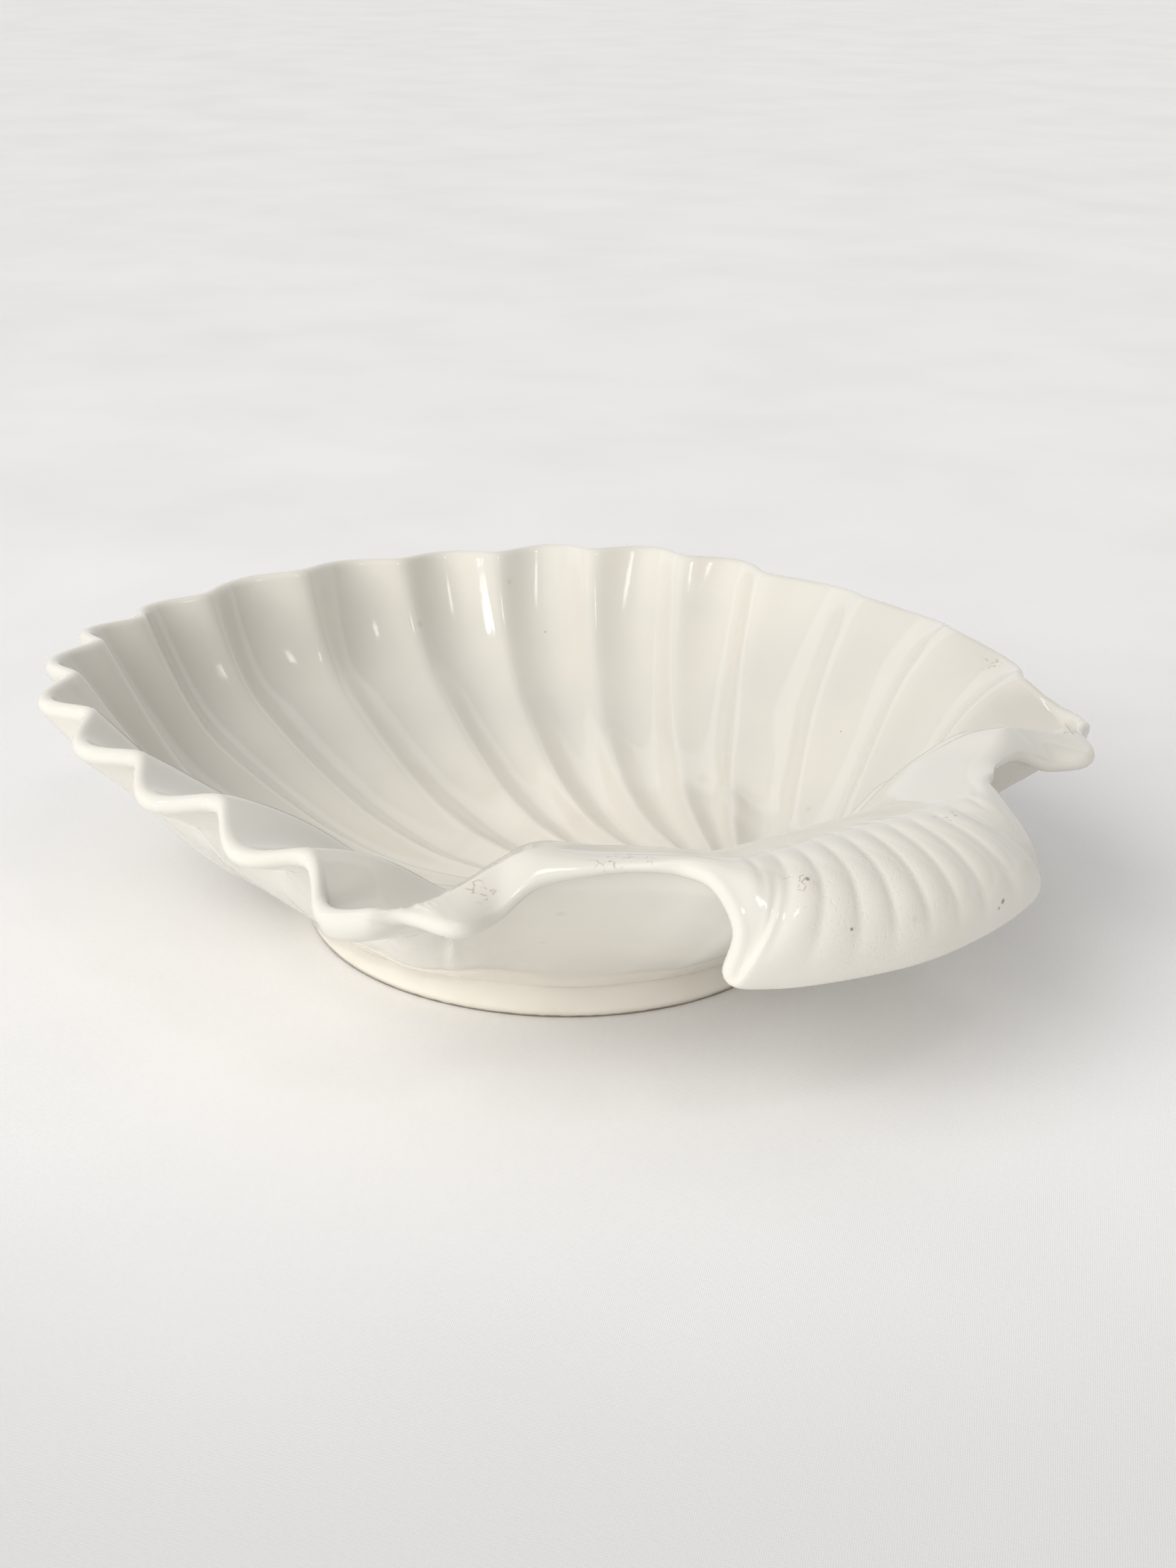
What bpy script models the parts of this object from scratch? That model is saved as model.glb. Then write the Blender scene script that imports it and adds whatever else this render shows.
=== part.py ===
"""White glazed ceramic centrepiece in the form of a fluted shell with a rolled hinge lip."""
import bpy
import numpy as np

COLUMNS_PER_FLUTE = 5
COLUMNS_PER_GAP = 2
COLUMNS_PER_RIB = 3
ROWS_BASIN = 14
ROWS_FLANGE = 6
ROWS_EDGE = 3
ROWS_UNDER = 11

# Ridge ends on half of the rim, from the far end of the axis round to the ear
RIDGE_ENDS = [
    (0.1890, 0.0000, 0.0900), (0.1872, 0.0468, 0.0882), (0.1701, 0.0846, 0.0891), (0.1404, 0.1152, 0.0927),
    (0.1071, 0.1404, 0.0936), (0.0657, 0.1530, 0.0936), (0.0099, 0.1611, 0.0954), (-0.0450, 0.1593, 0.0960),
    (-0.0918, 0.1512, 0.0909), (-0.1308, 0.1422, 0.0834)]
# Upper shoulder from the ear, over the arch and the neck, to the middle of the rolled lip
SHOULDER = [
    (-0.1338, 0.1262, 0.0852), (-0.1340, 0.1098, 0.0900), (-0.1368, 0.0972, 0.0934), (-0.1440, 0.0774, 0.0903),
    (-0.1575, 0.0612, 0.0905), (-0.1710, 0.0522, 0.0918), (-0.1755, 0.0450, 0.0914), (-0.1755, 0.0390, 0.0909),
    (-0.1755, 0.0310, 0.0909), (-0.1755, 0.0180, 0.0909), (-0.1755, 0.0000, 0.0909)]
# Middle of the free edge below each of those shoulder points
FREE_EDGE = [
    (-0.1472, 0.1322, 0.0768), (-0.1436, 0.1152, 0.0758), (-0.1422, 0.0990, 0.0828), (-0.1503, 0.0792, 0.0855),
    (-0.1620, 0.0672, 0.0870), (-0.1764, 0.0602, 0.0868), (-0.1900, 0.0606, 0.0765), (-0.1899, 0.0638, 0.0612),
    (-0.1953, 0.0500, 0.0574), (-0.2016, 0.0270, 0.0565), (-0.2052, 0.0000, 0.0565)]
# How the lip's upper face leaves its shoulder and comes in to its edge, from the arch to the middle
LIP_LEAVE = [
    (-0.0040, 0.0020, 0.0000), (-0.0040, 0.0020, 0.0000), (-0.0120, 0.0010, 0.0000), (-0.0180, 0.0000, 0.0000),
    (-0.0240, 0.0000, 0.0010), (-0.0240, 0.0000, 0.0010), (-0.0240, 0.0000, 0.0010)]
LIP_ARRIVE = [
    (0.0000, -0.0040, 0.0030), (0.0000, -0.0040, 0.0030), (-0.0020, -0.0080, 0.0060), (-0.0100, -0.0060, 0.0140),
    (-0.0090, -0.0020, 0.0170), (-0.0080, -0.0010, 0.0180), (-0.0080, 0.0000, 0.0180)]
WALL = 0.0066
# How far the middle of each flute's rim stands outside the line between its ridges, and below it
FLUTE_OUT = [0.0085, 0.0095, 0.0118, 0.0110, 0.0115, 0.0102, 0.0102, 0.0105, 0.0070]
FLUTE_DROP = [0.0010, 0.0010, 0.0010, 0.0010, 0.0015, 0.0025, 0.0045, 0.0055, 0.0085]
# Near the rim the ridges turn soft: how far in that reaches, and how much of a flute it takes up
FLUTE_SOFT_RIM = 0.030
FLUTE_SOFT_SHARE = 0.50
FLUTE_FLOOR_DEPTH = 0.0052
FLUTE_WALL_LENGTH = 0.070
UMBO_X = -0.1266
UMBO_SPREAD = 0.0244
FOOT_LENGTH = 0.1950
FOOT_BREADTH = 0.1800
FOOT_HEIGHT = 0.0125
FOOT_RING_WIDTH = 0.0110
FOOT_RECESS = 0.0030
FLOOR_LEVEL = 0.0155
FLOOR_RISE = 1.60
HINGE_RISE = 0.225
HINGE_RISE_START = 0.068
WALL_REACH = 0.0890
WALL_REACH_FRONT = -0.0147
WALL_REACH_AXIS = -0.0430
WALL_CURVE = 1.403
WALL_CURVE_FRONT = 1.052
WALL_CURVE_AXIS = 0.129
ROLL_RIB_PITCH = 0.0090
ROLL_RIB_HEIGHT = 0.0009
ROLL_UNDERSIDE_DROP = 0.0100

RIDGES = len(RIDGE_ENDS) - 1
STATIONS = RIDGES + len(SHOULDER)


def curve_through(points, station):
    points = np.asarray(points, float)
    padded = np.vstack([2 * points[0] - points[1], points, 2 * points[-1] - points[-2]])
    s = np.clip(np.asarray(station, float), 0, len(points) - 1)
    i = np.minimum(s.astype(int), len(points) - 2)
    t = (s - i)[:, None]
    p0, p1, p2, p3 = padded[i], padded[i + 1], padded[i + 2], padded[i + 3]
    return 0.5 * (2 * p1 + (p2 - p0) * t + (2 * p0 - 5 * p1 + 4 * p2 - p3) * t ** 2
                  + (3 * p1 - p0 - 3 * p2 + p3) * t ** 3)


def ease(x):
    x = np.clip(x, 0.0, 1.0)
    return x * x * (3 - 2 * x)


def mirrored(point):
    return (point[0], -point[1], point[2])


def boundary(station):
    """Shoulder and free edge at stations from 0, the far ridge, to the middle of the lip."""
    upper = [mirrored(RIDGE_ENDS[1])] + RIDGE_ENDS + SHOULDER + [mirrored(SHOULDER[-2])]
    lower = [mirrored(RIDGE_ENDS[1])] + RIDGE_ENDS + FREE_EDGE + [mirrored(FREE_EDGE[-2])]
    return curve_through(upper, station + 1), curve_through(lower, station + 1)


def shoulder_table():
    station = np.linspace(0, STATIONS, 801)
    points = boundary(station)[0]
    angle = np.arctan2(np.maximum(points[:, 1], 0), points[:, 0])
    angle[0], angle[-1] = 0.0, np.pi
    angle = np.maximum.accumulate(angle)
    return angle, np.hypot(points[:, 0], points[:, 1]), points[:, 2]


TABLE = shoulder_table()


def foot_radius(cosine, sine):
    return 1 / np.sqrt((cosine / (FOOT_LENGTH / 2)) ** 2 + (sine / (FOOT_BREADTH / 2)) ** 2)


def basin_height(x, y):
    """Height of the basin through the ridge crests, before the flutes are pressed in."""
    angle = np.arctan2(np.abs(y), x)
    radius = np.hypot(x, y)
    rim_radius = np.interp(angle, TABLE[0], TABLE[1])
    rim_height = np.interp(angle, TABLE[0], TABLE[2])
    c = np.cos(angle)
    power = np.clip(WALL_CURVE + WALL_CURVE_FRONT * c + WALL_CURVE_AXIS * c * c, 0.8, 4)
    reach = WALL_REACH + WALL_REACH_FRONT * c + WALL_REACH_AXIS * c * c
    share = np.clip(1 - (rim_radius - radius) / reach, 0, 1)
    hinge = 0.0225 * np.logaddexp(0, (-x + HINGE_RISE_START) / 0.0225)
    floor = np.minimum(FLOOR_LEVEL - 0.0124 + FLOOR_RISE * radius ** 2 + HINGE_RISE * hinge, 0.8 * rim_height)
    height = floor + (rim_height - floor) * share ** power
    inner = foot_radius(c, np.sin(angle))
    out = np.clip((radius - inner) / np.maximum(rim_radius - inner, 0.01), 0, 1)
    cap = FOOT_HEIGHT + (rim_height - WALL - FOOT_HEIGHT) * out + 0.018 + 0.014 * out
    soft = 0.004
    return -soft * np.logaddexp(-height / soft, -cap / soft)


def flute(station, sharp=0.22, power=0.50):
    """0 on a ridge and 1 in the middle of a flute."""
    wave = np.sin(np.pi * station) ** 2
    low = sharp ** (2 * power)
    value = ((wave + sharp ** 2) ** power - low) / ((1 + sharp ** 2) ** power - low)
    return np.where(station < RIDGES, value, 0.0)


def along(path, shares):
    steps = np.linalg.norm(np.diff(path, axis=0), axis=1)
    length = np.concatenate([[0], np.cumsum(steps)])
    return np.stack([np.interp(shares * length[-1], length, path[:, k]) for k in range(3)], 1)


def bezier(points, t):
    t = t[:, None]
    p0, p1, p2, p3 = points
    return (1 - t) ** 3 * p0 + 3 * t * (1 - t) ** 2 * p1 + 3 * t * t * (1 - t) * p2 + t ** 3 * p3


def grid_normals(grid):
    """Unit normals of a grid whose first index runs round and second index runs outwards."""
    round_step = np.roll(grid, -1, axis=0) - np.roll(grid, 1, axis=0)
    out_step = np.gradient(grid, axis=1)
    normal = np.cross(out_step, round_step)
    normal /= np.linalg.norm(normal, axis=2)[:, :, None] + 1e-12
    return normal


def ridge_directions(station):
    """Inward plan directions square to the rim, held at the last ridge beyond it."""
    ends = np.array([mirrored(RIDGE_ENDS[1])] + RIDGE_ENDS)[:, :2]
    tangent = np.gradient(ends, axis=0)[1:]
    inward = np.stack([-tangent[:, 1], tangent[:, 0]], 1)
    inward /= np.linalg.norm(inward, axis=1)[:, None]
    held = np.minimum(station, RIDGES)
    grid = np.arange(RIDGES + 1)
    return np.stack([np.interp(held, grid, inward[:, 0]), np.interp(held, grid, inward[:, 1])], 1)


def smooth_round(values, station, width):
    """Values round the closed edge, each averaged over its neighbours by their distance in stations."""
    turn = 2 * STATIONS
    place = np.arange(len(station))
    position = np.where(place <= len(station) // 2, station, turn - station)
    apart = np.abs(position[:, None] - position[None, :])
    apart = np.minimum(apart, turn - apart)
    span = np.abs(np.roll(position, -1) - np.roll(position, 1)) % (turn - 2)
    weight = np.exp(-0.5 * (apart / width) ** 2) * span[None, :]
    return weight @ values / weight.sum(1)[:, None]


def shell_grid(station, side, rows_basin, rows_flange, rows_edge, rows_under):
    """Rings of points round the shell, from the umbo over the edge to the middle of the base."""
    n = len(station)
    upper, edge = boundary(station)
    upper[:, 1] *= side
    edge[:, 1] *= side
    fine = np.linspace(0, STATIONS, 801)
    crest = boundary(fine)[0]
    tangent = np.gradient(crest[:, :2], axis=0)
    out = np.stack([tangent[:, 1], -tangent[:, 0]], 1)
    out /= np.linalg.norm(out, axis=1)[:, None]
    outward = np.stack([np.interp(station, fine, out[:, 0]), np.interp(station, fine, out[:, 1]) * side,
                        0 * station], 1)
    outward /= np.linalg.norm(outward, axis=1)[:, None]
    rolled = ease((station - RIDGES - 4.8) / 1.2)
    lip_station = np.maximum(station - RIDGES - 5, 0)
    lip_leave = curve_through(LIP_LEAVE, lip_station)
    lip_arrive = curve_through(LIP_ARRIVE, lip_station)
    lip_leave[:, 1] *= side
    lip_arrive[:, 1] *= side
    convex = ease((station - RIDGES - 2.0) / 2.0)
    ridged = 1 - ease(station - RIDGES)
    flange = np.linalg.norm(edge - upper, axis=1)
    knee = flange + (0.022 - np.minimum(flange, 0.022)) * ridged
    umbo = np.array([UMBO_X, 0.0])
    inward = ridge_directions(station)
    inward[:, 1] *= side
    hinge_side = np.clip((station - RIDGES) / 5, 0, 1)
    top = np.zeros((n, rows_basin + rows_flange, 3))
    t = np.linspace(0, 1, 90)
    for i in range(n):
        p0 = upper[i, :2]
        to_umbo = umbo - p0
        reach = np.linalg.norm(to_umbo)
        to_umbo = to_umbo / reach
        bend = 0.84 * (1 - hinge_side[i])
        lead = inward[i] * bend + to_umbo * (1 - bend)
        lead /= np.linalg.norm(lead)
        arm = 0.0289 + UMBO_SPREAD * min(station[i], RIDGES) / RIDGES
        arm = arm * (1 - hinge_side[i]) + 0.5 * reach * hinge_side[i]
        mid = p0 + arm * lead
        s = t[::-1, None]
        plan = (1 - s) ** 2 * p0 + 2 * s * (1 - s) * mid + s * s * umbo
        basin = np.column_stack([plan, basin_height(plan[:, 0], plan[:, 1])])
        basin[-1] = upper[i]
        path = basin
        if flange[i] > 1e-6:
            span = edge[i] - upper[i]
            leave = span * np.array([0.55, 0.55, 0]) * convex[i] + span * 0.33 * (1 - convex[i])
            arrive = -span * np.array([0, 0, 0.55]) * convex[i] - span * 0.33 * (1 - convex[i])
            leave = leave * (1 - rolled[i]) + lip_leave[i] * rolled[i]
            arrive = arrive * (1 - rolled[i]) + lip_arrive[i] * rolled[i]
            control = (upper[i], upper[i] + leave, edge[i] + arrive, edge[i])
            path = np.vstack([basin, bezier(control, np.linspace(0, 1, 40)[1:])])
        steps = np.linalg.norm(np.diff(path, axis=0), axis=1)
        length = steps.sum()
        turn = 1 - knee[i] / length
        inner = np.linspace(0, 1, rows_basin) ** 0.85 * turn
        outer = turn + (1 - turn) * np.linspace(0, 1, rows_flange + 1)[1:]
        top[i] = along(path, np.concatenate([inner, outer]))
    normal = grid_normals(top)
    normal[:, 0] = (0, 0, 1)
    for row in range(rows_basin - 2, rows_basin + rows_flange):
        normal[:, row] = smooth_round(normal[:, row], station, 0.22)
    normal /= np.linalg.norm(normal, axis=2)[:, :, None]
    steps = np.linalg.norm(np.diff(top, axis=1), axis=2)
    gone = np.concatenate([np.zeros((n, 1)), np.cumsum(steps, axis=1)], axis=1)
    share = gone / gone[:, -1:]
    below_rim = gone[:, -1:] - gone
    at_rim = ease(1 - below_rim / FLUTE_SOFT_RIM)
    wave = flute(station)[:, None] * (1 - at_rim) + flute(station, FLUTE_SOFT_SHARE)[:, None] * at_rim
    on_wall = np.exp(-(below_rim / FLUTE_WALL_LENGTH) ** 2) * ease(share / 0.3)
    which = np.minimum(station.astype(int), RIDGES - 1)
    beside_ear = ease((station - RIDGES + 0.75) / 0.65)
    reach_out = (np.array(FLUTE_OUT)[which] * (1 - beside_ear))[:, None]
    drop = np.array(FLUTE_DROP)[which][:, None]
    press = np.zeros(top.shape)
    press[:, :, :2] = -inward[:, None, :] * (reach_out * on_wall)[:, :, None]
    press[:, :, 2] -= drop * on_wall
    floor_depth = FLUTE_FLOOR_DEPTH * ease((share - 0.03) / 0.50) * (1 - on_wall)
    press = press - normal * floor_depth[:, :, None]
    rib = rib_height(upper, edge, station, side, share, below_rim, rows_basin)
    inside = top + press * wave[:, :, None] + normal * rib[:, :, None]
    cut_square = ease((station - RIDGES - 4.6) / 0.9) * ease((RIDGES + 8.6 - station) / 0.9)
    normal[:, rows_basin:, 1] *= 1 - 0.85 * cut_square[:, None] * np.linspace(0, 1, rows_flange + 1)[None, 1:]
    normal /= np.linalg.norm(normal, axis=2)[:, :, None]
    tip_normal = normal[:, -1]
    along_edge = np.roll(top[:, -1], -1, axis=0) - np.roll(top[:, -1], 1, axis=0)
    along_edge = smooth_round(along_edge, station, 0.10)
    tip_out = np.cross(along_edge, tip_normal)
    tip_out /= np.linalg.norm(tip_out, axis=1)[:, None]
    pull = tip_normal * (1 - ridged)[:, None] * WALL / 2 - tip_out * WALL / 2
    toward_tip = np.clip((np.arange(rows_basin + rows_flange) - rows_basin + 1) / rows_flange, 0, 1)
    inside = inside + pull[:, None, :] * toward_tip[None, :, None]
    flange_rows = slice(rows_basin - 1, rows_basin + rows_flange)
    under_flange = inside[:, flange_rows] - normal[:, flange_rows] * WALL
    rows = []
    heart = inside[:, -1] - tip_normal * WALL / 2
    for k in range(1, rows_edge + 1):
        a = np.pi * k / (rows_edge + 1)
        rows.append(heart + tip_normal * np.cos(a) * WALL / 2 + tip_out * np.sin(a) * WALL / 2)
    rim = np.stack(rows, 1)
    under = np.zeros((n, rows_under, 3))
    foot_angle = foot_directions(station, side)
    foot_c, foot_s = np.cos(foot_angle), np.sin(foot_angle)
    foot_x = FOOT_LENGTH / 2 * foot_c
    foot_y = FOOT_BREADTH / 2 * foot_s
    for i in range(n):
        row = rows_basin - 1
        dent = press[i, row] * ridged[i]
        tucked = ease((station[i] - RIDGES + 1) / 2.5)
        start = top[i, row] - normal[i, row] * WALL * (1 - tucked) - np.array([0, 0, ROLL_UNDERSIDE_DROP]) * tucked
        end = np.array([foot_x[i], foot_y[i], FOOT_HEIGHT])
        s = np.linspace(0, 1, 60)
        level = flute(station[i:i + 1])[0]
        smoothed = ease(s / 0.40)
        dented = (level * (1 - smoothed) + 0.9 * smoothed) * (1 - s) ** 0.7
        chord = start + (end - start) * s[:, None] + dent * dented[:, None]
        chord[:, 2] -= 0.004 * np.sin(np.pi * s)
        x, y = chord[:, 0], chord[:, 1]
        step = 0.0005
        slope_x = (basin_height(x + step, y) - basin_height(x - step, y)) / (2 * step)
        slope_y = (basin_height(x, y + step) - basin_height(x, y - step)) / (2 * step)
        steep = np.minimum(np.sqrt(1 + slope_x ** 2 + slope_y ** 2), 2.5)
        fade = ease(s / 0.25)
        gone_down = s * np.linalg.norm(end - start)
        sunk = drop[i, 0] * level * ridged[i] * np.exp(-(gone_down / FLUTE_WALL_LENGTH) ** 2)
        below = basin_height(x, y) - (WALL + FLUTE_FLOOR_DEPTH) * steep - 1.3 * sunk
        soft = 0.002
        low = -soft * np.logaddexp(-chord[:, 2] / soft, -below / soft) + soft * np.log(2) * 0
        chord[:, 2] = chord[:, 2] * (1 - fade) + low * fade
        rows_lip = rows_flange // 2 + 1
        lip = along(under_flange[i, ::-1], np.linspace(0, 1, rows_lip))
        wall = np.vstack([under_flange[i, 0], chord[2:]])
        under[i] = np.vstack([lip, along(wall, np.linspace(0, 1, rows_under - rows_lip + 1))[1:]])
    beside_ear = np.exp(-((station - RIDGES - 0.6) / 0.8) ** 2)
    for row in range(rows_lip, rows_under - 1):
        share_smooth = beside_ear * ease((row - rows_lip + 1) / (0.25 * rows_under)) * ease((rows_under - 1 - row) / 2)
        rounded = smooth_round(under[:, row], station, 0.40)
        under[:, row] += (rounded - under[:, row]) * share_smooth[:, None]
    foot_rows = foot_rings(under[:, -1], foot_c, foot_s)
    return inside, rim, under, foot_rows


def rib_height(upper, edge, station, side, share, below_rim, rows_basin):
    across = np.abs(upper[:, 1]) / ROLL_RIB_PITCH
    wave = np.abs(np.sin(np.pi * across)) ** 0.7
    on_lip = ease((station - RIDGES - 6.1) / 0.9)
    length = below_rim[:, rows_basin - 1][:, None]
    down = 1 - below_rim / np.maximum(length, 1e-6)
    band = ease((down + 0.45) / 0.45) * ease((0.95 - down) / 0.45)
    return ROLL_RIB_HEIGHT * wave[:, None] * on_lip[:, None] * band


def foot_directions(station, side):
    stations = np.array([0, 3, 6, 9, 10, 12, 14, 16, 17, 20.0])
    degrees = np.array([0, 36, 78, 122, 127, 140, 152, 163, 167, 180.0])
    fine = np.linspace(0, 20, 201)
    smooth = np.interp(fine, stations, degrees)
    kernel = np.ones(21) / 21
    padded = np.concatenate([-smooth[10:0:-1], smooth, 360 - smooth[-2:-12:-1]])
    smooth = np.convolve(padded, kernel, mode="valid")
    return np.radians(np.interp(station, fine, smooth)) * side


def foot_rings(start, foot_c, foot_s):
    def ring(inset, height):
        return np.stack([(FOOT_LENGTH / 2 - inset) * foot_c, (FOOT_BREADTH / 2 - inset) * foot_s,
                         height + 0 * foot_c], 1)
    inner = FOOT_RING_WIDTH
    return np.stack([ring(0.0, 0.0035), ring(0.0016, 0.0), ring(inner - 0.0012, 0.0),
                     ring(inner, 0.0012), ring(inner + 0.0020, FOOT_RECESS), ring(0.060, FOOT_RECESS)], 1)


def column_stations(per_flute, per_gap, per_rib):
    """Stations and sides all round, starting at the far ridge and running over the left side."""
    flute_part = np.arange(RIDGES * per_flute) / per_flute
    gap_part = RIDGES + np.arange(int(6.0 * per_gap)) / per_gap
    fine = np.linspace(RIDGES + 6.0, STATIONS, 400)
    across = boundary(fine)[0][:, 1]
    ribs = across[0] / ROLL_RIB_PITCH
    count = int(round(ribs * per_rib))
    wanted = np.linspace(across[0], 0, count + 1)
    lip_part = np.interp(-wanted, -across, fine)
    half = np.concatenate([flute_part, gap_part, lip_part])
    station = np.concatenate([half, half[-2:0:-1]])
    side = np.concatenate([np.ones(len(half)), -np.ones(len(half) - 2)])
    return station, side


def glaze():
    material = bpy.data.materials.new("ivory_glaze")
    material.use_nodes = True
    shader = material.node_tree.nodes["Principled BSDF"]
    shader.inputs["Base Color"].default_value = (0.78, 0.75, 0.70, 1)
    shader.inputs["Roughness"].default_value = 0.12
    shader.inputs["Metallic"].default_value = 0.0
    return material


def clear_objects():
    for thing in list(bpy.data.objects):
        bpy.data.objects.remove(thing, do_unlink=True)


def build_shell():
    station, side = column_stations(COLUMNS_PER_FLUTE, COLUMNS_PER_GAP, COLUMNS_PER_RIB)
    inside, rim, under, foot = shell_grid(station, side, ROWS_BASIN, ROWS_FLANGE, ROWS_EDGE, ROWS_UNDER)
    grid = np.concatenate([inside[:, 1:], rim, under, foot], axis=1)
    count, rows = grid.shape[:2]
    points = np.vstack([grid.reshape(-1, 3), inside[0, 0], (0, 0, FOOT_RECESS)])
    low, high = points.min(axis=0), points.max(axis=0)
    points[:, 0] -= (low[0] + high[0]) / 2
    faces = []
    for i in range(count):
        j = (i + 1) % count
        faces.append((count * rows, i * rows, j * rows))
        for k in range(rows - 1):
            a, b, c, d = i * rows + k, i * rows + k + 1, j * rows + k + 1, j * rows + k
            if (i + k) % 2:
                faces.append((a, b, c))
                faces.append((a, c, d))
            else:
                faces.append((a, b, d))
                faces.append((b, c, d))
        faces.append((count * rows + 1, j * rows + rows - 1, i * rows + rows - 1))
    mesh = bpy.data.meshes.new("shell_dish")
    mesh.from_pydata(points.tolist(), [], faces)
    mesh.update()
    for face in mesh.polygons:
        face.use_smooth = True
    mesh.materials.append(glaze())
    shell = bpy.data.objects.new("shell_dish", mesh)
    bpy.context.scene.collection.objects.link(shell)
    return shell


clear_objects()
build_shell()
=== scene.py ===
import math

import bpy
import numpy as np
from mathutils import Matrix, Vector


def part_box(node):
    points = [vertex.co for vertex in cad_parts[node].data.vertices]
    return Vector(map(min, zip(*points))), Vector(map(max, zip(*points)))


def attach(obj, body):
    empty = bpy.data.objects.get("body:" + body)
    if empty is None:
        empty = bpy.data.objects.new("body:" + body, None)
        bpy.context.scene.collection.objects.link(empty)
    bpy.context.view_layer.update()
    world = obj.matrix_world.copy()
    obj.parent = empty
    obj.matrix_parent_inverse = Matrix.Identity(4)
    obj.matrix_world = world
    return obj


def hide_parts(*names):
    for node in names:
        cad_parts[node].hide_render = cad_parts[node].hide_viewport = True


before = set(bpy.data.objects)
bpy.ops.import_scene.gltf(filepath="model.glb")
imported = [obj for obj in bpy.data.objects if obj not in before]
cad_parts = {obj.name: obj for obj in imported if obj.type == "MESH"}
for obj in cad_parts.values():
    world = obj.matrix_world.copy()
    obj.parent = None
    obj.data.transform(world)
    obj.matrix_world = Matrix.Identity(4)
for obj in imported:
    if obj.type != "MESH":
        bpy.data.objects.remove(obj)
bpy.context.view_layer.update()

COLUMNS_PER_FLUTE = 16
COLUMNS_PER_GAP = 6
COLUMNS_PER_RIB = 9
ROWS_BASIN = 64
ROWS_FLANGE = 20
ROWS_EDGE = 7
ROWS_UNDER = 44

# Ridge ends on half of the rim, from the far end of the axis round to the ear
RIDGE_ENDS = [
    (0.1890, 0.0000, 0.0900), (0.1872, 0.0468, 0.0882), (0.1701, 0.0846, 0.0891),
    (0.1404, 0.1152, 0.0927), (0.1071, 0.1404, 0.0936), (0.0657, 0.1530, 0.0936),
    (0.0099, 0.1611, 0.0954), (-0.0450, 0.1593, 0.0960), (-0.0918, 0.1512, 0.0909),
    (-0.1308, 0.1422, 0.0834)]
# Upper shoulder from the ear, over the arch and the neck, to the middle of the rolled lip
SHOULDER = [
    (-0.1338, 0.1262, 0.0852), (-0.1340, 0.1098, 0.0900), (-0.1368, 0.0972, 0.0934),
    (-0.1440, 0.0774, 0.0903), (-0.1575, 0.0612, 0.0905), (-0.1710, 0.0522, 0.0918),
    (-0.1755, 0.0450, 0.0914), (-0.1755, 0.0390, 0.0909), (-0.1755, 0.0310, 0.0909),
    (-0.1755, 0.0180, 0.0909), (-0.1755, 0.0000, 0.0909)]
# Middle of the free edge below each of those shoulder points
FREE_EDGE = [
    (-0.1472, 0.1322, 0.0768), (-0.1436, 0.1152, 0.0758), (-0.1422, 0.0990, 0.0828),
    (-0.1503, 0.0792, 0.0855), (-0.1620, 0.0672, 0.0870), (-0.1764, 0.0602, 0.0868),
    (-0.1900, 0.0606, 0.0765), (-0.1899, 0.0638, 0.0612), (-0.1953, 0.0500, 0.0574),
    (-0.2016, 0.0270, 0.0565), (-0.2052, 0.0000, 0.0565)]
# How the lip's upper face leaves its shoulder and comes in to its edge, from the arch to the middle
LIP_LEAVE = [
    (-0.0040, 0.0020, 0.0000), (-0.0040, 0.0020, 0.0000), (-0.0120, 0.0010, 0.0000),
    (-0.0180, 0.0000, 0.0000), (-0.0240, 0.0000, 0.0010), (-0.0240, 0.0000, 0.0010),
    (-0.0240, 0.0000, 0.0010)]
LIP_ARRIVE = [
    (0.0000, -0.0040, 0.0030), (0.0000, -0.0040, 0.0030), (-0.0020, -0.0080, 0.0060),
    (-0.0100, -0.0060, 0.0140), (-0.0090, -0.0020, 0.0170), (-0.0080, -0.0010, 0.0180),
    (-0.0080, 0.0000, 0.0180)]
WALL = 0.0066
# How far the middle of each flute's rim stands outside the line between its ridges, and below it
FLUTE_OUT = [0.0085, 0.0095, 0.0118, 0.0110, 0.0115, 0.0102, 0.0102, 0.0105, 0.0070]
FLUTE_DROP = [0.0010, 0.0010, 0.0010, 0.0010, 0.0015, 0.0025, 0.0045, 0.0055, 0.0085]
# Near the rim the ridges turn soft: how far in that reaches, and how much of a flute it takes up
FLUTE_SOFT_RIM = 0.030
FLUTE_SOFT_SHARE = 0.50
FLUTE_FLOOR_DEPTH = 0.0052
FLUTE_WALL_LENGTH = 0.070
# How rounded a ridge is across its crest, and how full a flute is
FLUTE_SHARP = 0.22
FLUTE_POWER = 0.50
# Shares of a section's length from the umbo: where flutes start, deepen and reach the wall
FLUTE_STARTS = 0.03
FLUTE_DEEPENS = 0.50
UMBO_CALM = 0.3
# The last flute fades out before the ear, in stations
EAR_CALM_FROM = 0.75
EAR_CALM_OVER = 0.65
UMBO_X = -0.1266
UMBO_SPREAD = 0.0244
# How far a ridge heads away from the rim before it turns to the umbo, and how squarely it leaves the rim
RIDGE_LEAD = 0.0289
RIDGE_BEND = 0.84
FOOT_LENGTH = 0.1950
FOOT_BREADTH = 0.1800
FOOT_HEIGHT = 0.0125
FOOT_RING_WIDTH = 0.0110
FOOT_RECESS = 0.0030
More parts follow.
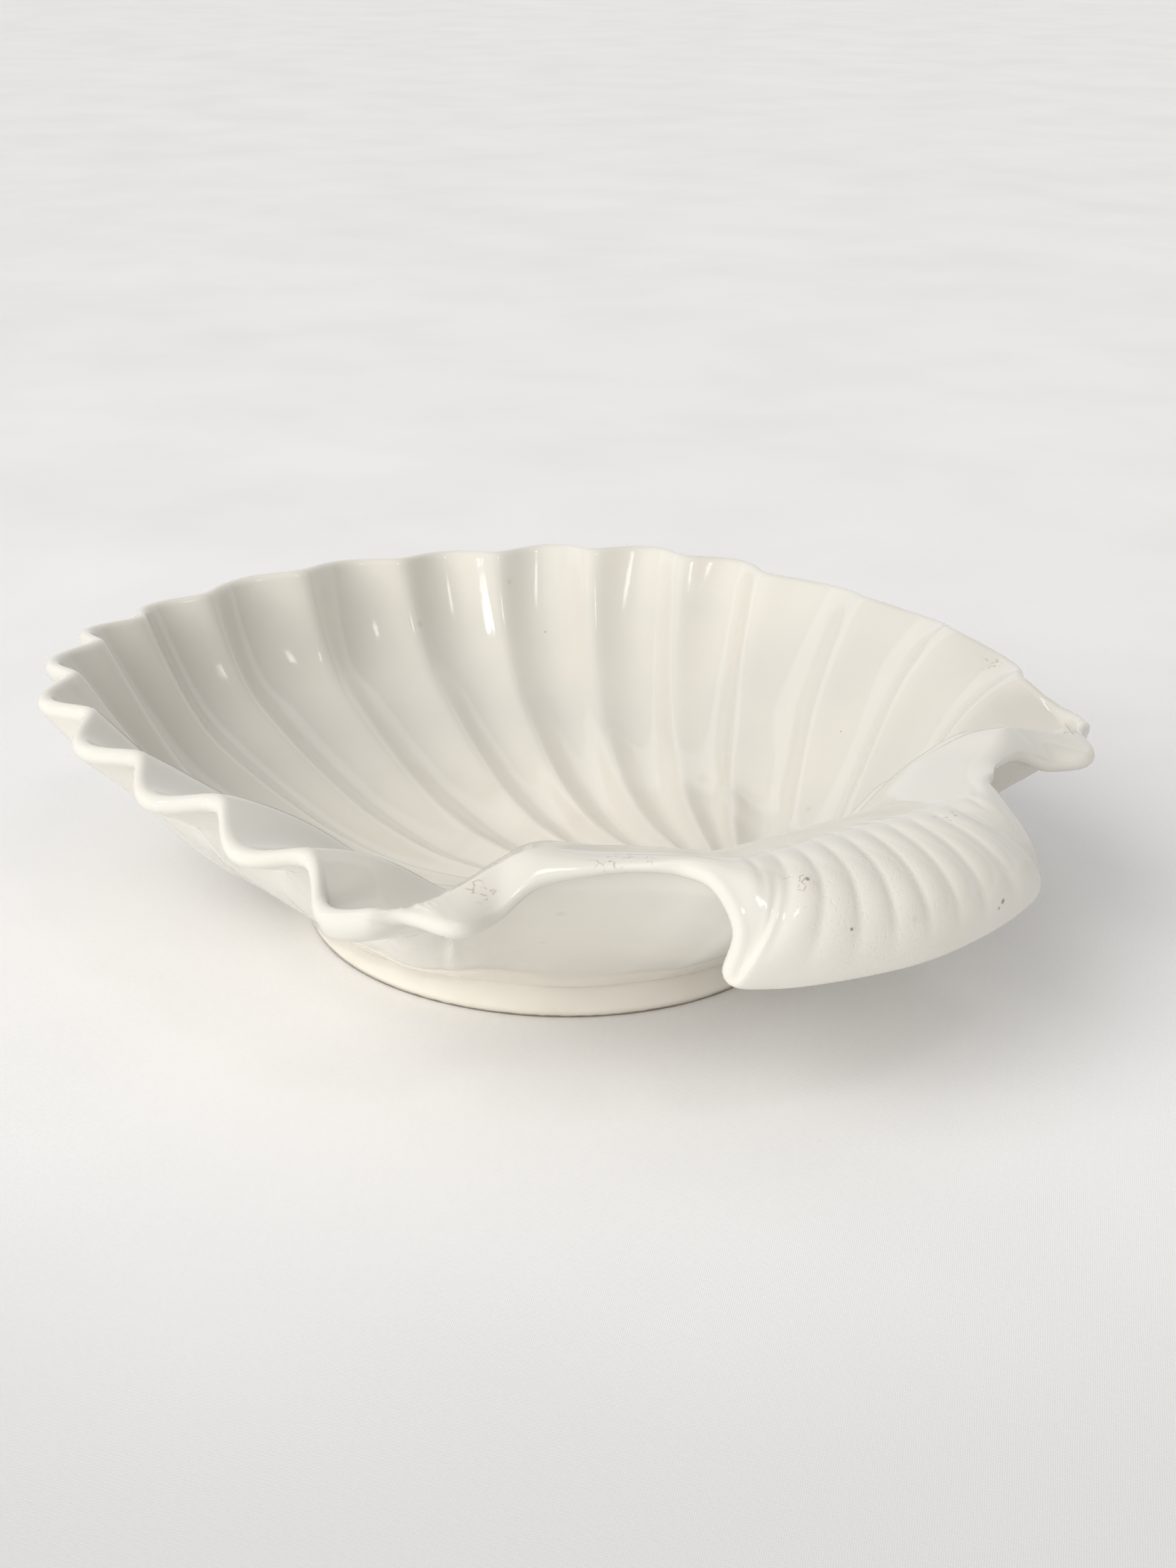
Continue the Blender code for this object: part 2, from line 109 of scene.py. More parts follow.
# Section of the foot from its outer side inwards: inset and height
FOOT_PROFILE = [
    (0.0, 0.0035), (0.0016, 0.0), (FOOT_RING_WIDTH - 0.0012, 0.0), (FOOT_RING_WIDTH, 0.0012),
    (FOOT_RING_WIDTH + 0.0020, FOOT_RECESS), (0.060, FOOT_RECESS)]
FLOOR_LEVEL = 0.0155
FLOOR_SINK = 0.0124
FLOOR_RISE = 1.60
FLOOR_TOP_SHARE = 0.8
HINGE_RISE = 0.225
HINGE_RISE_START = 0.068
HINGE_RISE_SOFT = 0.0225
WALL_REACH = 0.0890
WALL_REACH_FRONT = -0.0147
WALL_REACH_AXIS = -0.0430
WALL_CURVE = 1.403
WALL_CURVE_FRONT = 1.052
WALL_CURVE_AXIS = 0.129
WALL_CURVE_LEAST = 0.8
WALL_CURVE_MOST = 4
# How far the basin may stand above the line from foot to rim, and how much more of that at the rim
CAP_AT_FOOT = 0.018
CAP_GROWTH = 0.014
CAP_SOFT = 0.004
# The outside wall: how steep it may count as, how softly it keeps below the basin, how far it hangs
STEEPEST = 2.5
UNDER_SOFT = 0.002
OUTSIDE_SAG = 0.004
OUTSIDE_FADE = 0.25
# The flutes on the outside: how soon they even out, how deep they then are, and how they end
DENT_SMOOTH = 0.40
DENT_EVEN = 0.9
DENT_FADE = 0.7
SUNK_FACTOR = 1.3
# The smoothed patch of the outside below each ear, in stations and as a share of the rows
BELOW_EAR_AT = 0.6
BELOW_EAR_WIDTH = 0.8
BELOW_EAR_ROWS = 0.25
BELOW_EAR_SMOOTH = 0.40
ROLL_RIB_PITCH = 0.0090
ROLL_RIB_HEIGHT = 0.0009
ROLL_UNDERSIDE_DROP = 0.0100
# Stations past the ear where a form of the hinge side starts, and over how many stations it grows
CONVEX_FROM = 2.0
CONVEX_OVER = 2.0
LIP_FROM = 5
ROLL_FROM = 4.8
ROLL_OVER = 1.2
SQUARE_FROM = 4.6
SQUARE_UNTIL = 8.6
SQUARE_OVER = 0.9
SQUARE_SHARE = 0.85
TUCK_BEFORE = 1
TUCK_OVER = 2.5
GAP_STATIONS = 6.0
RIB_FROM = 6.1
RIB_OVER = 0.9
# Least distance in from the rim that the rim's closer rows of points cover
KNEE_LENGTH = 0.022
ROW_SPACING = 0.85
# How far the curve between shoulder and edge leaves its ends: where it bulges, and where it is straight
FLANGE_BULGE = 0.55
FLANGE_STRAIGHT = 0.33
# Over how many stations the directions at the rim and along the edge are averaged
RIM_NORMAL_SMOOTH = 0.22
EDGE_SMOOTH = 0.10
# Points taken along a section and along the rim before the rows are laid out
SAMPLES_BASIN = 90
SAMPLES_FLANGE = 40
SAMPLES_OUTSIDE = 60
SAMPLES_RIM = 801
SAMPLES_LIP = 400
# Directions of the sections at the foot, in degrees from the far end, for some of the stations
FOOT_STATIONS = [0, 3, 6, 9, 10, 12, 14, 16, 17, 20.0]
FOOT_DEGREES = [0, 36, 78, 122, 127, 140, 152, 163, 167, 180.0]

RIDGES = len(RIDGE_ENDS) - 1
STATIONS = RIDGES + len(SHOULDER)


def curve_through(points, station):
    """Points of a smooth curve through the given points, which stand at stations 0, 1, 2 and on."""
    points = np.asarray(points, float)
    padded = np.vstack([2 * points[0] - points[1], points, 2 * points[-1] - points[-2]])
    s = np.clip(np.asarray(station, float), 0, len(points) - 1)
    i = np.minimum(s.astype(int), len(points) - 2)
    t = (s - i)[:, None]
    p0, p1, p2, p3 = padded[i], padded[i + 1], padded[i + 2], padded[i + 3]
    return 0.5 * (2 * p1 + (p2 - p0) * t + (2 * p0 - 5 * p1 + 4 * p2 - p3) * t ** 2
                  + (3 * p1 - p0 - 3 * p2 + p3) * t ** 3)


def ease(x):
    """Smooth step from 0 to 1 while x goes from 0 to 1."""
    x = np.clip(x, 0.0, 1.0)
    return x * x * (3 - 2 * x)


def mirrored(point):
    return (point[0], -point[1], point[2])


def boundary(station):
    """Shoulder and free edge at stations from 0, the far ridge, to the middle of the lip."""
    upper = [mirrored(RIDGE_ENDS[1])] + RIDGE_ENDS + SHOULDER + [mirrored(SHOULDER[-2])]
    lower = [mirrored(RIDGE_ENDS[1])] + RIDGE_ENDS + FREE_EDGE + [mirrored(FREE_EDGE[-2])]
    return curve_through(upper, station + 1), curve_through(lower, station + 1)


def shoulder_table():
    """Direction, distance and height of the shoulder, as seen from the middle."""
    station = np.linspace(0, STATIONS, SAMPLES_RIM)
    points = boundary(station)[0]
    angle = np.arctan2(np.maximum(points[:, 1], 0), points[:, 0])
    angle[0], angle[-1] = 0.0, np.pi
    angle = np.maximum.accumulate(angle)
    return angle, np.hypot(points[:, 0], points[:, 1]), points[:, 2]


TABLE = shoulder_table()


def soft_least(a, b, soft):
    """The lesser of two heights, rounded where they cross."""
    return -soft * np.logaddexp(-a / soft, -b / soft)


def foot_radius(cosine, sine):
    return 1 / np.sqrt((cosine / (FOOT_LENGTH / 2)) ** 2 + (sine / (FOOT_BREADTH / 2)) ** 2)


def basin_height(x, y):
    """Height of the basin through the ridge crests, before the flutes are pressed in."""
    angle = np.arctan2(np.abs(y), x)
    radius = np.hypot(x, y)
    rim_radius = np.interp(angle, TABLE[0], TABLE[1])
    rim_height = np.interp(angle, TABLE[0], TABLE[2])
    c = np.cos(angle)
    power = WALL_CURVE + WALL_CURVE_FRONT * c + WALL_CURVE_AXIS * c * c
    power = np.clip(power, WALL_CURVE_LEAST, WALL_CURVE_MOST)
    reach = WALL_REACH + WALL_REACH_FRONT * c + WALL_REACH_AXIS * c * c
    share = np.clip(1 - (rim_radius - radius) / reach, 0, 1)
    hinge = HINGE_RISE_SOFT * np.logaddexp(0, (-x + HINGE_RISE_START) / HINGE_RISE_SOFT)
    floor = FLOOR_LEVEL - FLOOR_SINK + FLOOR_RISE * radius ** 2 + HINGE_RISE * hinge
    floor = np.minimum(floor, FLOOR_TOP_SHARE * rim_height)
    height = floor + (rim_height - floor) * share ** power
    inner = foot_radius(c, np.sin(angle))
    out = np.clip((radius - inner) / np.maximum(rim_radius - inner, 0.01), 0, 1)
    cap = FOOT_HEIGHT + (rim_height - WALL - FOOT_HEIGHT) * out + CAP_AT_FOOT + CAP_GROWTH * out
    return soft_least(height, cap, CAP_SOFT)


def steepness(x, y, step=0.0005):
    """Length along the basin's slope for one unit in plan."""
    slope_x = (basin_height(x + step, y) - basin_height(x - step, y)) / (2 * step)
    slope_y = (basin_height(x, y + step) - basin_height(x, y - step)) / (2 * step)
    return np.sqrt(1 + slope_x ** 2 + slope_y ** 2)


def flute(station, sharp=FLUTE_SHARP):
    """0 on a ridge and 1 in the middle of a flute."""
    wave = np.sin(np.pi * station) ** 2
    low = sharp ** (2 * FLUTE_POWER)
    value = ((wave + sharp ** 2) ** FLUTE_POWER - low) / ((1 + sharp ** 2) ** FLUTE_POWER - low)
    return np.where(station < RIDGES, value, 0.0)


def along(path, shares):
    """Points at the given shares of a path's length."""
    steps = np.linalg.norm(np.diff(path, axis=0), axis=1)
    length = np.concatenate([[0], np.cumsum(steps)])
    return np.stack([np.interp(shares * length[-1], length, path[:, k]) for k in range(3)], 1)


def bezier(points, t):
    t = t[:, None]
    p0, p1, p2, p3 = points
    return (1 - t) ** 3 * p0 + 3 * t * (1 - t) ** 2 * p1 + 3 * t * t * (1 - t) * p2 + t ** 3 * p3


def grid_normals(grid):
    """Unit normals of a grid whose first index runs round and second index runs outwards."""
    round_step = np.roll(grid, -1, axis=0) - np.roll(grid, 1, axis=0)
    out_step = np.gradient(grid, axis=1)
    normal = np.cross(out_step, round_step)
    normal /= np.linalg.norm(normal, axis=2)[:, :, None] + 1e-12
    return normal


def ridge_directions(station):
    """Inward plan directions square to the rim, held at the last ridge beyond it."""
    ends = np.array([mirrored(RIDGE_ENDS[1])] + RIDGE_ENDS)[:, :2]
    tangent = np.gradient(ends, axis=0)[1:]
    inward = np.stack([-tangent[:, 1], tangent[:, 0]], 1)
    inward /= np.linalg.norm(inward, axis=1)[:, None]
    held = np.minimum(station, RIDGES)
    grid = np.arange(RIDGES + 1)
    return np.stack([np.interp(held, grid, inward[:, 0]), np.interp(held, grid, inward[:, 1])], 1)


def smooth_round(values, station, width):
    """Values round the closed edge, each averaged over its neighbours by their distance in stations."""
    turn = 2 * STATIONS
    place = np.arange(len(station))
    position = np.where(place <= len(station) // 2, station, turn - station)
    apart = np.abs(position[:, None] - position[None, :])
    apart = np.minimum(apart, turn - apart)
    span = np.abs(np.roll(position, -1) - np.roll(position, 1)) % (turn - 2)
    weight = np.exp(-0.5 * (apart / width) ** 2) * span[None, :]
    return weight @ values / weight.sum(1)[:, None]


def top_surface(station, side, upper, edge, inward, rows_basin, rows_flange):
    """Upper surface through the ridge crests: each section runs from the umbo over the rim to the edge."""
    past_ear = station - RIDGES
    convex = ease((past_ear - CONVEX_FROM) / CONVEX_OVER)
    rolled = ease((past_ear - ROLL_FROM) / ROLL_OVER)
    lip_station = np.maximum(past_ear - LIP_FROM, 0)
    lip_leave = curve_through(LIP_LEAVE, lip_station)
    lip_arrive = curve_through(LIP_ARRIVE, lip_station)
    lip_leave[:, 1] *= side
    lip_arrive[:, 1] *= side
    flange = np.linalg.norm(edge - upper, axis=1)
    knee = flange + (KNEE_LENGTH - np.minimum(flange, KNEE_LENGTH)) * (1 - ease(past_ear))
    hinge_side = np.clip(past_ear / LIP_FROM, 0, 1)
    umbo = np.array([UMBO_X, 0.0])
    s = np.linspace(0, 1, SAMPLES_BASIN)[::-1, None]
    top = np.zeros((len(station), rows_basin + rows_flange, 3))
    for i in range(len(station)):
        p0 = upper[i, :2]
        to_umbo = umbo - p0
        reach = np.linalg.norm(to_umbo)
        to_umbo = to_umbo / reach
        bend = RIDGE_BEND * (1 - hinge_side[i])
        lead = inward[i] * bend + to_umbo * (1 - bend)
        lead /= np.linalg.norm(lead)
        arm = RIDGE_LEAD + UMBO_SPREAD * min(station[i], RIDGES) / RIDGES
        arm = arm * (1 - hinge_side[i]) + 0.5 * reach * hinge_side[i]
        mid = p0 + arm * lead
        plan = (1 - s) ** 2 * p0 + 2 * s * (1 - s) * mid + s * s * umbo
        basin = np.column_stack([plan, basin_height(plan[:, 0], plan[:, 1])])
        basin[-1] = upper[i]
        path = basin
        if flange[i] > 1e-6:
            span = edge[i] - upper[i]
            flat = span * np.array([FLANGE_BULGE, FLANGE_BULGE, 0])
            steep = span * np.array([0, 0, FLANGE_BULGE])
            leave = flat * convex[i] + span * FLANGE_STRAIGHT * (1 - convex[i])
            arrive = -steep * convex[i] - span * FLANGE_STRAIGHT * (1 - convex[i])
            leave = leave * (1 - rolled[i]) + lip_leave[i] * rolled[i]
            arrive = arrive * (1 - rolled[i]) + lip_arrive[i] * rolled[i]
            control = (upper[i], upper[i] + leave, edge[i] + arrive, edge[i])
            path = np.vstack([basin, bezier(control, np.linspace(0, 1, SAMPLES_FLANGE)[1:])])
        length = np.linalg.norm(np.diff(path, axis=0), axis=1).sum()
        turn = 1 - knee[i] / length
        inner = np.linspace(0, 1, rows_basin) ** ROW_SPACING * turn
        outer = turn + (1 - turn) * np.linspace(0, 1, rows_flange + 1)[1:]
        top[i] = along(path, np.concatenate([inner, outer]))
    return top


def flute_shares(station, below_rim):
    """How much of a flute's full depth each point gets, with softer ridges near the rim."""
    at_rim = ease(1 - below_rim / FLUTE_SOFT_RIM)
    crisp = flute(station)[:, None]
    soft = flute(station, FLUTE_SOFT_SHARE)[:, None]
    return crisp * (1 - at_rim) + soft * at_rim


def flute_press(station, inward, normal, share, below_rim):
    """How far each point would move in the middle of its flute, and the drop of each flute at the rim."""
    on_wall = np.exp(-(below_rim / FLUTE_WALL_LENGTH) ** 2) * ease(share / UMBO_CALM)
    which = np.minimum(station.astype(int), RIDGES - 1)
    beside_ear = ease((station - RIDGES + EAR_CALM_FROM) / EAR_CALM_OVER)
    reach_out = (np.array(FLUTE_OUT)[which] * (1 - beside_ear))[:, None]
    drop = np.array(FLUTE_DROP)[which][:, None]
    press = np.zeros(normal.shape)
    press[:, :, :2] = -inward[:, None, :] * (reach_out * on_wall)[:, :, None]
    press[:, :, 2] -= drop * on_wall
    floor_depth = FLUTE_FLOOR_DEPTH * ease((share - FLUTE_STARTS) / FLUTE_DEEPENS) * (1 - on_wall)
    return press - normal * floor_depth[:, :, None], drop


def edge_rows(inside, tip_normal, tip_out, rows_edge):
    """Rows of points over the half-round edge."""
    heart = inside[:, -1] - tip_normal * WALL / 2
    rows = []
    for k in range(1, rows_edge + 1):
        a = np.pi * k / (rows_edge + 1)
        rows.append(heart + tip_normal * np.cos(a) * WALL / 2 + tip_out * np.sin(a) * WALL / 2)
    return np.stack(rows, 1)


def outside_surface(station, starts, dents, drop, lips, foot_c, foot_s, rows_under):
    """The underside of the lip and the outside wall, down to the top of the foot."""
    rows_lip = lips.shape[1] // 2 + 1
    ridged = 1 - ease(station - RIDGES)
    s = np.linspace(0, 1, SAMPLES_OUTSIDE)
    smoothed = ease(s / DENT_SMOOTH)
    fade = ease(s / OUTSIDE_FADE)
    under = np.zeros((len(station), rows_under, 3))
    for i in range(len(station)):
        start = starts[i]
        end = np.array([FOOT_LENGTH / 2 * foot_c[i], FOOT_BREADTH / 2 * foot_s[i], FOOT_HEIGHT])
        level = flute(station[i:i + 1])[0]
        dented = (level * (1 - smoothed) + DENT_EVEN * smoothed) * (1 - s) ** DENT_FADE
        chord = start + (end - start) * s[:, None] + dents[i] * dented[:, None]
        chord[:, 2] -= OUTSIDE_SAG * np.sin(np.pi * s)
        x, y = chord[:, 0], chord[:, 1]
        steep = np.minimum(steepness(x, y), STEEPEST)
        gone_down = s * np.linalg.norm(end - start)
        sunk = drop[i, 0] * level * ridged[i] * np.exp(-(gone_down / FLUTE_WALL_LENGTH) ** 2)
        below = basin_height(x, y) - (WALL + FLUTE_FLOOR_DEPTH) * steep - SUNK_FACTOR * sunk
        low = soft_least(chord[:, 2], below, UNDER_SOFT)
        chord[:, 2] = chord[:, 2] * (1 - fade) + low * fade
        lip = along(lips[i, ::-1], np.linspace(0, 1, rows_lip))
        wall = np.vstack([lips[i, 0], chord[2:]])
        under[i] = np.vstack([lip, along(wall, np.linspace(0, 1, rows_under - rows_lip + 1))[1:]])
    below_ear = np.exp(-((station - RIDGES - BELOW_EAR_AT) / BELOW_EAR_WIDTH) ** 2)
    for row in range(rows_lip, rows_under - 1):
        amount = below_ear * ease((row - rows_lip + 1) / (BELOW_EAR_ROWS * rows_under))
        amount = amount * ease((rows_under - 1 - row) / 2)
        rounded = smooth_round(under[:, row], station, BELOW_EAR_SMOOTH)
        under[:, row] += (rounded - under[:, row]) * amount[:, None]
    return under


def shell_grid(station, side, rows_basin, rows_flange, rows_edge, rows_under):
    """Rings of points round the shell, from the umbo over the edge to the middle of the base."""
    n = len(station)
    past_ear = station - RIDGES
    ridged = 1 - ease(past_ear)
    upper, edge = boundary(station)
    inward = ridge_directions(station)
    for values in (upper, edge, inward):
        values[:, 1] *= side
    top = top_surface(station, side, upper, edge, inward, rows_basin, rows_flange)
    normal = grid_normals(top)
    normal[:, 0] = (0, 0, 1)
    for row in range(rows_basin - 2, rows_basin + rows_flange):
        normal[:, row] = smooth_round(normal[:, row], station, RIM_NORMAL_SMOOTH)
    normal /= np.linalg.norm(normal, axis=2)[:, :, None]
    steps = np.linalg.norm(np.diff(top, axis=1), axis=2)
    gone = np.concatenate([np.zeros((n, 1)), np.cumsum(steps, axis=1)], axis=1)
    share = gone / gone[:, -1:]
    below_rim = gone[:, -1:] - gone
    wave = flute_shares(station, below_rim)
    press, drop = flute_press(station, inward, normal, share, below_rim)
    rib = rib_height(upper, station, below_rim, rows_basin)
    inside = top + press * wave[:, :, None] + normal * rib[:, :, None]

    cut_square = ease((past_ear - SQUARE_FROM) / SQUARE_OVER)
    cut_square = cut_square * ease((RIDGES + SQUARE_UNTIL - station) / SQUARE_OVER)
    to_edge = np.linspace(0, 1, rows_flange + 1)[None, 1:]
    normal[:, rows_basin:, 1] *= 1 - SQUARE_SHARE * cut_square[:, None] * to_edge
    normal /= np.linalg.norm(normal, axis=2)[:, :, None]
    tip_normal = normal[:, -1]
    along_edge = np.roll(top[:, -1], -1, axis=0) - np.roll(top[:, -1], 1, axis=0)
    along_edge = smooth_round(along_edge, station, EDGE_SMOOTH)
    tip_out = np.cross(along_edge, tip_normal)
    tip_out /= np.linalg.norm(tip_out, axis=1)[:, None]
    pull = tip_normal * (1 - ridged)[:, None] * WALL / 2 - tip_out * WALL / 2
    toward_tip = np.clip((np.arange(rows_basin + rows_flange) - rows_basin + 1) / rows_flange, 0, 1)
    inside = inside + pull[:, None, :] * toward_tip[None, :, None]
    rim = edge_rows(inside, tip_normal, tip_out, rows_edge)

    row = rows_basin - 1
    lips = inside[:, row:] - normal[:, row:] * WALL
    tucked = ease((station - RIDGES + TUCK_BEFORE) / TUCK_OVER)[:, None]
    under_roll = np.array([0, 0, ROLL_UNDERSIDE_DROP])
    starts = top[:, row] - normal[:, row] * WALL * (1 - tucked) - under_roll * tucked
    dents = press[:, row] * ridged[:, None]
    foot_angle = foot_directions(station, side)
    foot_c, foot_s = np.cos(foot_angle), np.sin(foot_angle)
    under = outside_surface(station, starts, dents, drop, lips, foot_c, foot_s, rows_under)
    return inside, rim, under, foot_rings(foot_c, foot_s)


def rib_height(upper, station, below_rim, rows_basin):
    """Height of the soft ribs on the lip's upper face."""
    across = np.abs(upper[:, 1]) / ROLL_RIB_PITCH
    wave = np.abs(np.sin(np.pi * across)) ** 0.7
    on_lip = ease((station - RIDGES - RIB_FROM) / RIB_OVER)
    length = below_rim[:, rows_basin - 1][:, None]
    down = 1 - below_rim / np.maximum(length, 1e-6)
    band = ease((down + 0.45) / 0.45) * ease((0.95 - down) / 0.45)
    return ROLL_RIB_HEIGHT * wave[:, None] * on_lip[:, None] * band


def foot_directions(station, side):
    """Direction in which each section meets the foot, smoothed from the table."""
    fine = np.linspace(0, 20, 201)
    smooth = np.interp(fine, FOOT_STATIONS, FOOT_DEGREES)
    kernel = np.ones(21) / 21
    padded = np.concatenate([-smooth[10:0:-1], smooth, 360 - smooth[-2:-12:-1]])
    smooth = np.convolve(padded, kernel, mode="valid")
    return np.radians(np.interp(station, fine, smooth)) * side


def foot_rings(foot_c, foot_s):
    """The foot's rings, from its outer side over the ring it stands on to the shallow recess."""
    rings = []
    for inset, height in FOOT_PROFILE:
        x = (FOOT_LENGTH / 2 - inset) * foot_c
        y = (FOOT_BREADTH / 2 - inset) * foot_s
        rings.append(np.stack([x, y, np.full(len(x), height)], 1))
    return np.stack(rings, 1)


def column_stations(per_flute, per_gap, per_rib):
    """Stations and sides all round, starting at the far ridge and running over the left side."""
    flute_part = np.arange(RIDGES * per_flute) / per_flute
    gap_part = RIDGES + np.arange(int(GAP_STATIONS * per_gap)) / per_gap
    fine = np.linspace(RIDGES + GAP_STATIONS, STATIONS, SAMPLES_LIP)
    across = boundary(fine)[0][:, 1]
    ribs = across[0] / ROLL_RIB_PITCH
    count = int(round(ribs * per_rib))
    wanted = np.linspace(across[0], 0, count + 1)
    lip_part = np.interp(-wanted, -across, fine)
    half = np.concatenate([flute_part, gap_part, lip_part])
    station = np.concatenate([half, half[-2:0:-1]])
    side = np.concatenate([np.ones(len(half)), -np.ones(len(half) - 2)])
    return station, side


def shell_mesh():
    """The shell as one closed mesh, and how far it was moved to stand where the CAD part stands."""
    station, side = column_stations(COLUMNS_PER_FLUTE, COLUMNS_PER_GAP, COLUMNS_PER_RIB)
    inside, rim, under, foot = shell_grid(station, side, ROWS_BASIN, ROWS_FLANGE, ROWS_EDGE, ROWS_UNDER)
    grid = np.concatenate([inside[:, 1:], rim, under, foot], axis=1)
    low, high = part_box("shell_dish")
    middle = (grid[:, :, 0].min() + grid[:, :, 0].max()) / 2
    shift = np.array([(low[0] + high[0]) / 2 - middle, 0, 0])
    umbo = inside[0, 0] + shift
    base = np.array([0, 0, FOOT_RECESS]) + shift
    count, rows = grid.shape[:2]
    points = np.vstack([(grid + shift).reshape(-1, 3), umbo[None], base[None]])
    faces = []
    for i in range(count):
        j = (i + 1) % count
        faces.append((count * rows, i * rows, j * rows))
        for k in range(rows - 1):
            faces.append((i * rows + k, i * rows + k + 1, j * rows + k + 1, j * rows + k))
        faces.append((count * rows + 1, j * rows + rows - 1, i * rows + rows - 1))
    mesh = bpy.data.meshes.new("glazed_shell")
    mesh.from_pydata(points.tolist(), [], faces)
    mesh.update()
    mesh.polygons.foreach_set("use_smooth", [True] * len(mesh.polygons))
    shell = bpy.data.objects.new("glazed_shell", mesh)
    bpy.context.scene.collection.objects.link(shell)
    return shell, shift[0]


class Nodes:
    """Short ways to add and join the nodes of one material."""

    def __init__(self, material):
        material.use_nodes = True
        self.tree = material.node_tree
        self.shader = self.tree.nodes["Principled BSDF"]
        self.place = self.add("ShaderNodeTexCoord").outputs["Object"]

    def add(self, kind, **settings):
        made = self.tree.nodes.new(kind)
        for key, value in settings.items():
            setattr(made, key, value)
        return made

    def put(self, socket, value):
        if isinstance(value, bpy.types.NodeSocket):
            self.tree.links.new(value, socket)
        else:
            socket.default_value = value

    def math(self, operation, *values):
        made = self.add("ShaderNodeMath", operation=operation)
        for socket, value in zip(made.inputs, values):
            self.put(socket, value)
        return made.outputs[0]

    def noise(self, scale, detail=2.0, place=None):
        made = self.add("ShaderNodeTexNoise")
        self.put(made.inputs["Vector"], place or self.place)
        made.inputs["Scale"].default_value = scale
        made.inputs["Detail"].default_value = detail
        return made.outputs["Fac"]

    def cells(self, scale, feature="F1"):
        made = self.add("ShaderNodeTexVoronoi", feature=feature)
        self.put(made.inputs["Vector"], self.place)
        made.inputs["Scale"].default_value = scale
        return made

    def step(self, value, start, end):
        """0 at start, 1 at end and smooth in between."""
        made = self.add("ShaderNodeMapRange", interpolation_type="SMOOTHSTEP")
        self.put(made.inputs["Value"], value)
        made.inputs["From Min"].default_value = start
        made.inputs["From Max"].default_value = end
        return made.outputs["Result"]

    def near(self, point, reach):
        """1 at the point, fading to 0 at the given reach."""
        made = self.add("ShaderNodeVectorMath", operation="DISTANCE")
        self.put(made.inputs[0], self.place)
        made.inputs[1].default_value = point
        return self.step(made.outputs["Value"], reach, reach * 0.3)

    def scaled(self, value, factor):
        return self.math("MULTIPLY", value, factor)

    def channel(self, colour, number):
        """One channel of a colour, here used to pick some cells at random."""
        made = self.add("ShaderNodeSeparateColor")
        self.put(made.inputs[0], colour)
        return made.outputs[number]

    def near_any(self, places):
        """1 at any of the places, each given as its point and its reach."""
        masks = [self.near(point, reach) for point, reach in places]
        total = masks[0]
        for mask in masks[1:]:
            total = self.math("MAXIMUM", total, mask)
        return total

    def blend(self, factor, under, over):
        made = self.add("ShaderNodeMix", data_type="RGBA")
        self.put(made.inputs["Factor"], factor)
        self.put(made.inputs[6], under)
        self.put(made.inputs[7], over)
        return made.outputs[2]

    def coordinate(self, axis):
        made = self.add("ShaderNodeSeparateXYZ")
        self.put(made.inputs[0], self.place)
        return made.outputs[axis]

    def bump(self, height, distance, strength=1.0, under=None):
        made = self.add("ShaderNodeBump")
        self.put(made.inputs["Height"], height)
        made.inputs["Distance"].default_value = distance
        made.inputs["Strength"].default_value = strength
        if under is not None:
            self.put(made.inputs["Normal"], under)
        return made.outputs["Normal"]


IVORY = (0.720, 0.688, 0.618, 1)
IVORY_WARM = (0.710, 0.662, 0.565, 1)
# Paler ivory painted low down as the light bounced up from the cloth onto the foot
IVORY_PAINTED_BOUNCE = (0.810, 0.768, 0.680, 1)
IVORY_GREY = (0.685, 0.660, 0.600, 1)
PIN_GREY = (0.470, 0.440, 0.380, 1)
WEAR_BROWN = (0.330, 0.190, 0.110, 1)
IRON_DARK = (0.130, 0.110, 0.090, 1)
BARE_CLAY = (0.330, 0.280, 0.220, 1)
FOOT_STAIN = (0.620, 0.500, 0.340, 1)
# How strongly each tint is laid over the ivory
WARM_SHARE = 0.35
PIN_SHARE = 0.27
SPECK_SHARE = 0.75
WEAR_SHARE = 0.60
STAIN_SHARE = 0.30
# Roughness of the glaze, how much it varies, and how much rougher the bare clay is
GLAZE_ROUGHNESS = 0.07
GLAZE_ROUGHNESS_SPREAD = 0.07
BARE_ROUGHNESS = 0.6
GLAZE_IOR = 1.50
# The lip's pitted area: point and reach
PITTED_PLACE = ((-0.1980, 0.0150, 0.0780), 0.0420)
# Worn places on the glaze: point and reach
WORN_PLACES = [
    ((-0.1512, 0.0728, 0.0933), 0.0110), ((-0.1480, 0.0800, 0.0930), 0.0080),
    ((-0.1884, 0.0377, 0.0884), 0.0065), ((-0.1784, -0.0307, 0.0917), 0.0070),
    ((-0.1337, 0.1171, 0.0854), 0.0070), ((-0.0629, -0.1577, 0.0867), 0.0060)]
# Single dark marks: point and reach
DARK_MARKS = [
    ((-0.2018, -0.0348, 0.0683), 0.0013), ((-0.2025, -0.0330, 0.0665), 0.0009),
    ((-0.2022, 0.0280, 0.0747), 0.0008), ((-0.1888, 0.0350, 0.0880), 0.0012)]
# Single soft grey pin marks in the bowl: point and reach
PIN_MARKS = [
    ((0.1765, -0.0466, 0.0611), 0.0022), ((0.1667, -0.0867, 0.0759), 0.0018),
    ((-0.1213, 0.0798, 0.0646), 0.0030), ((-0.1013, 0.1219, 0.0533), 0.0035)]


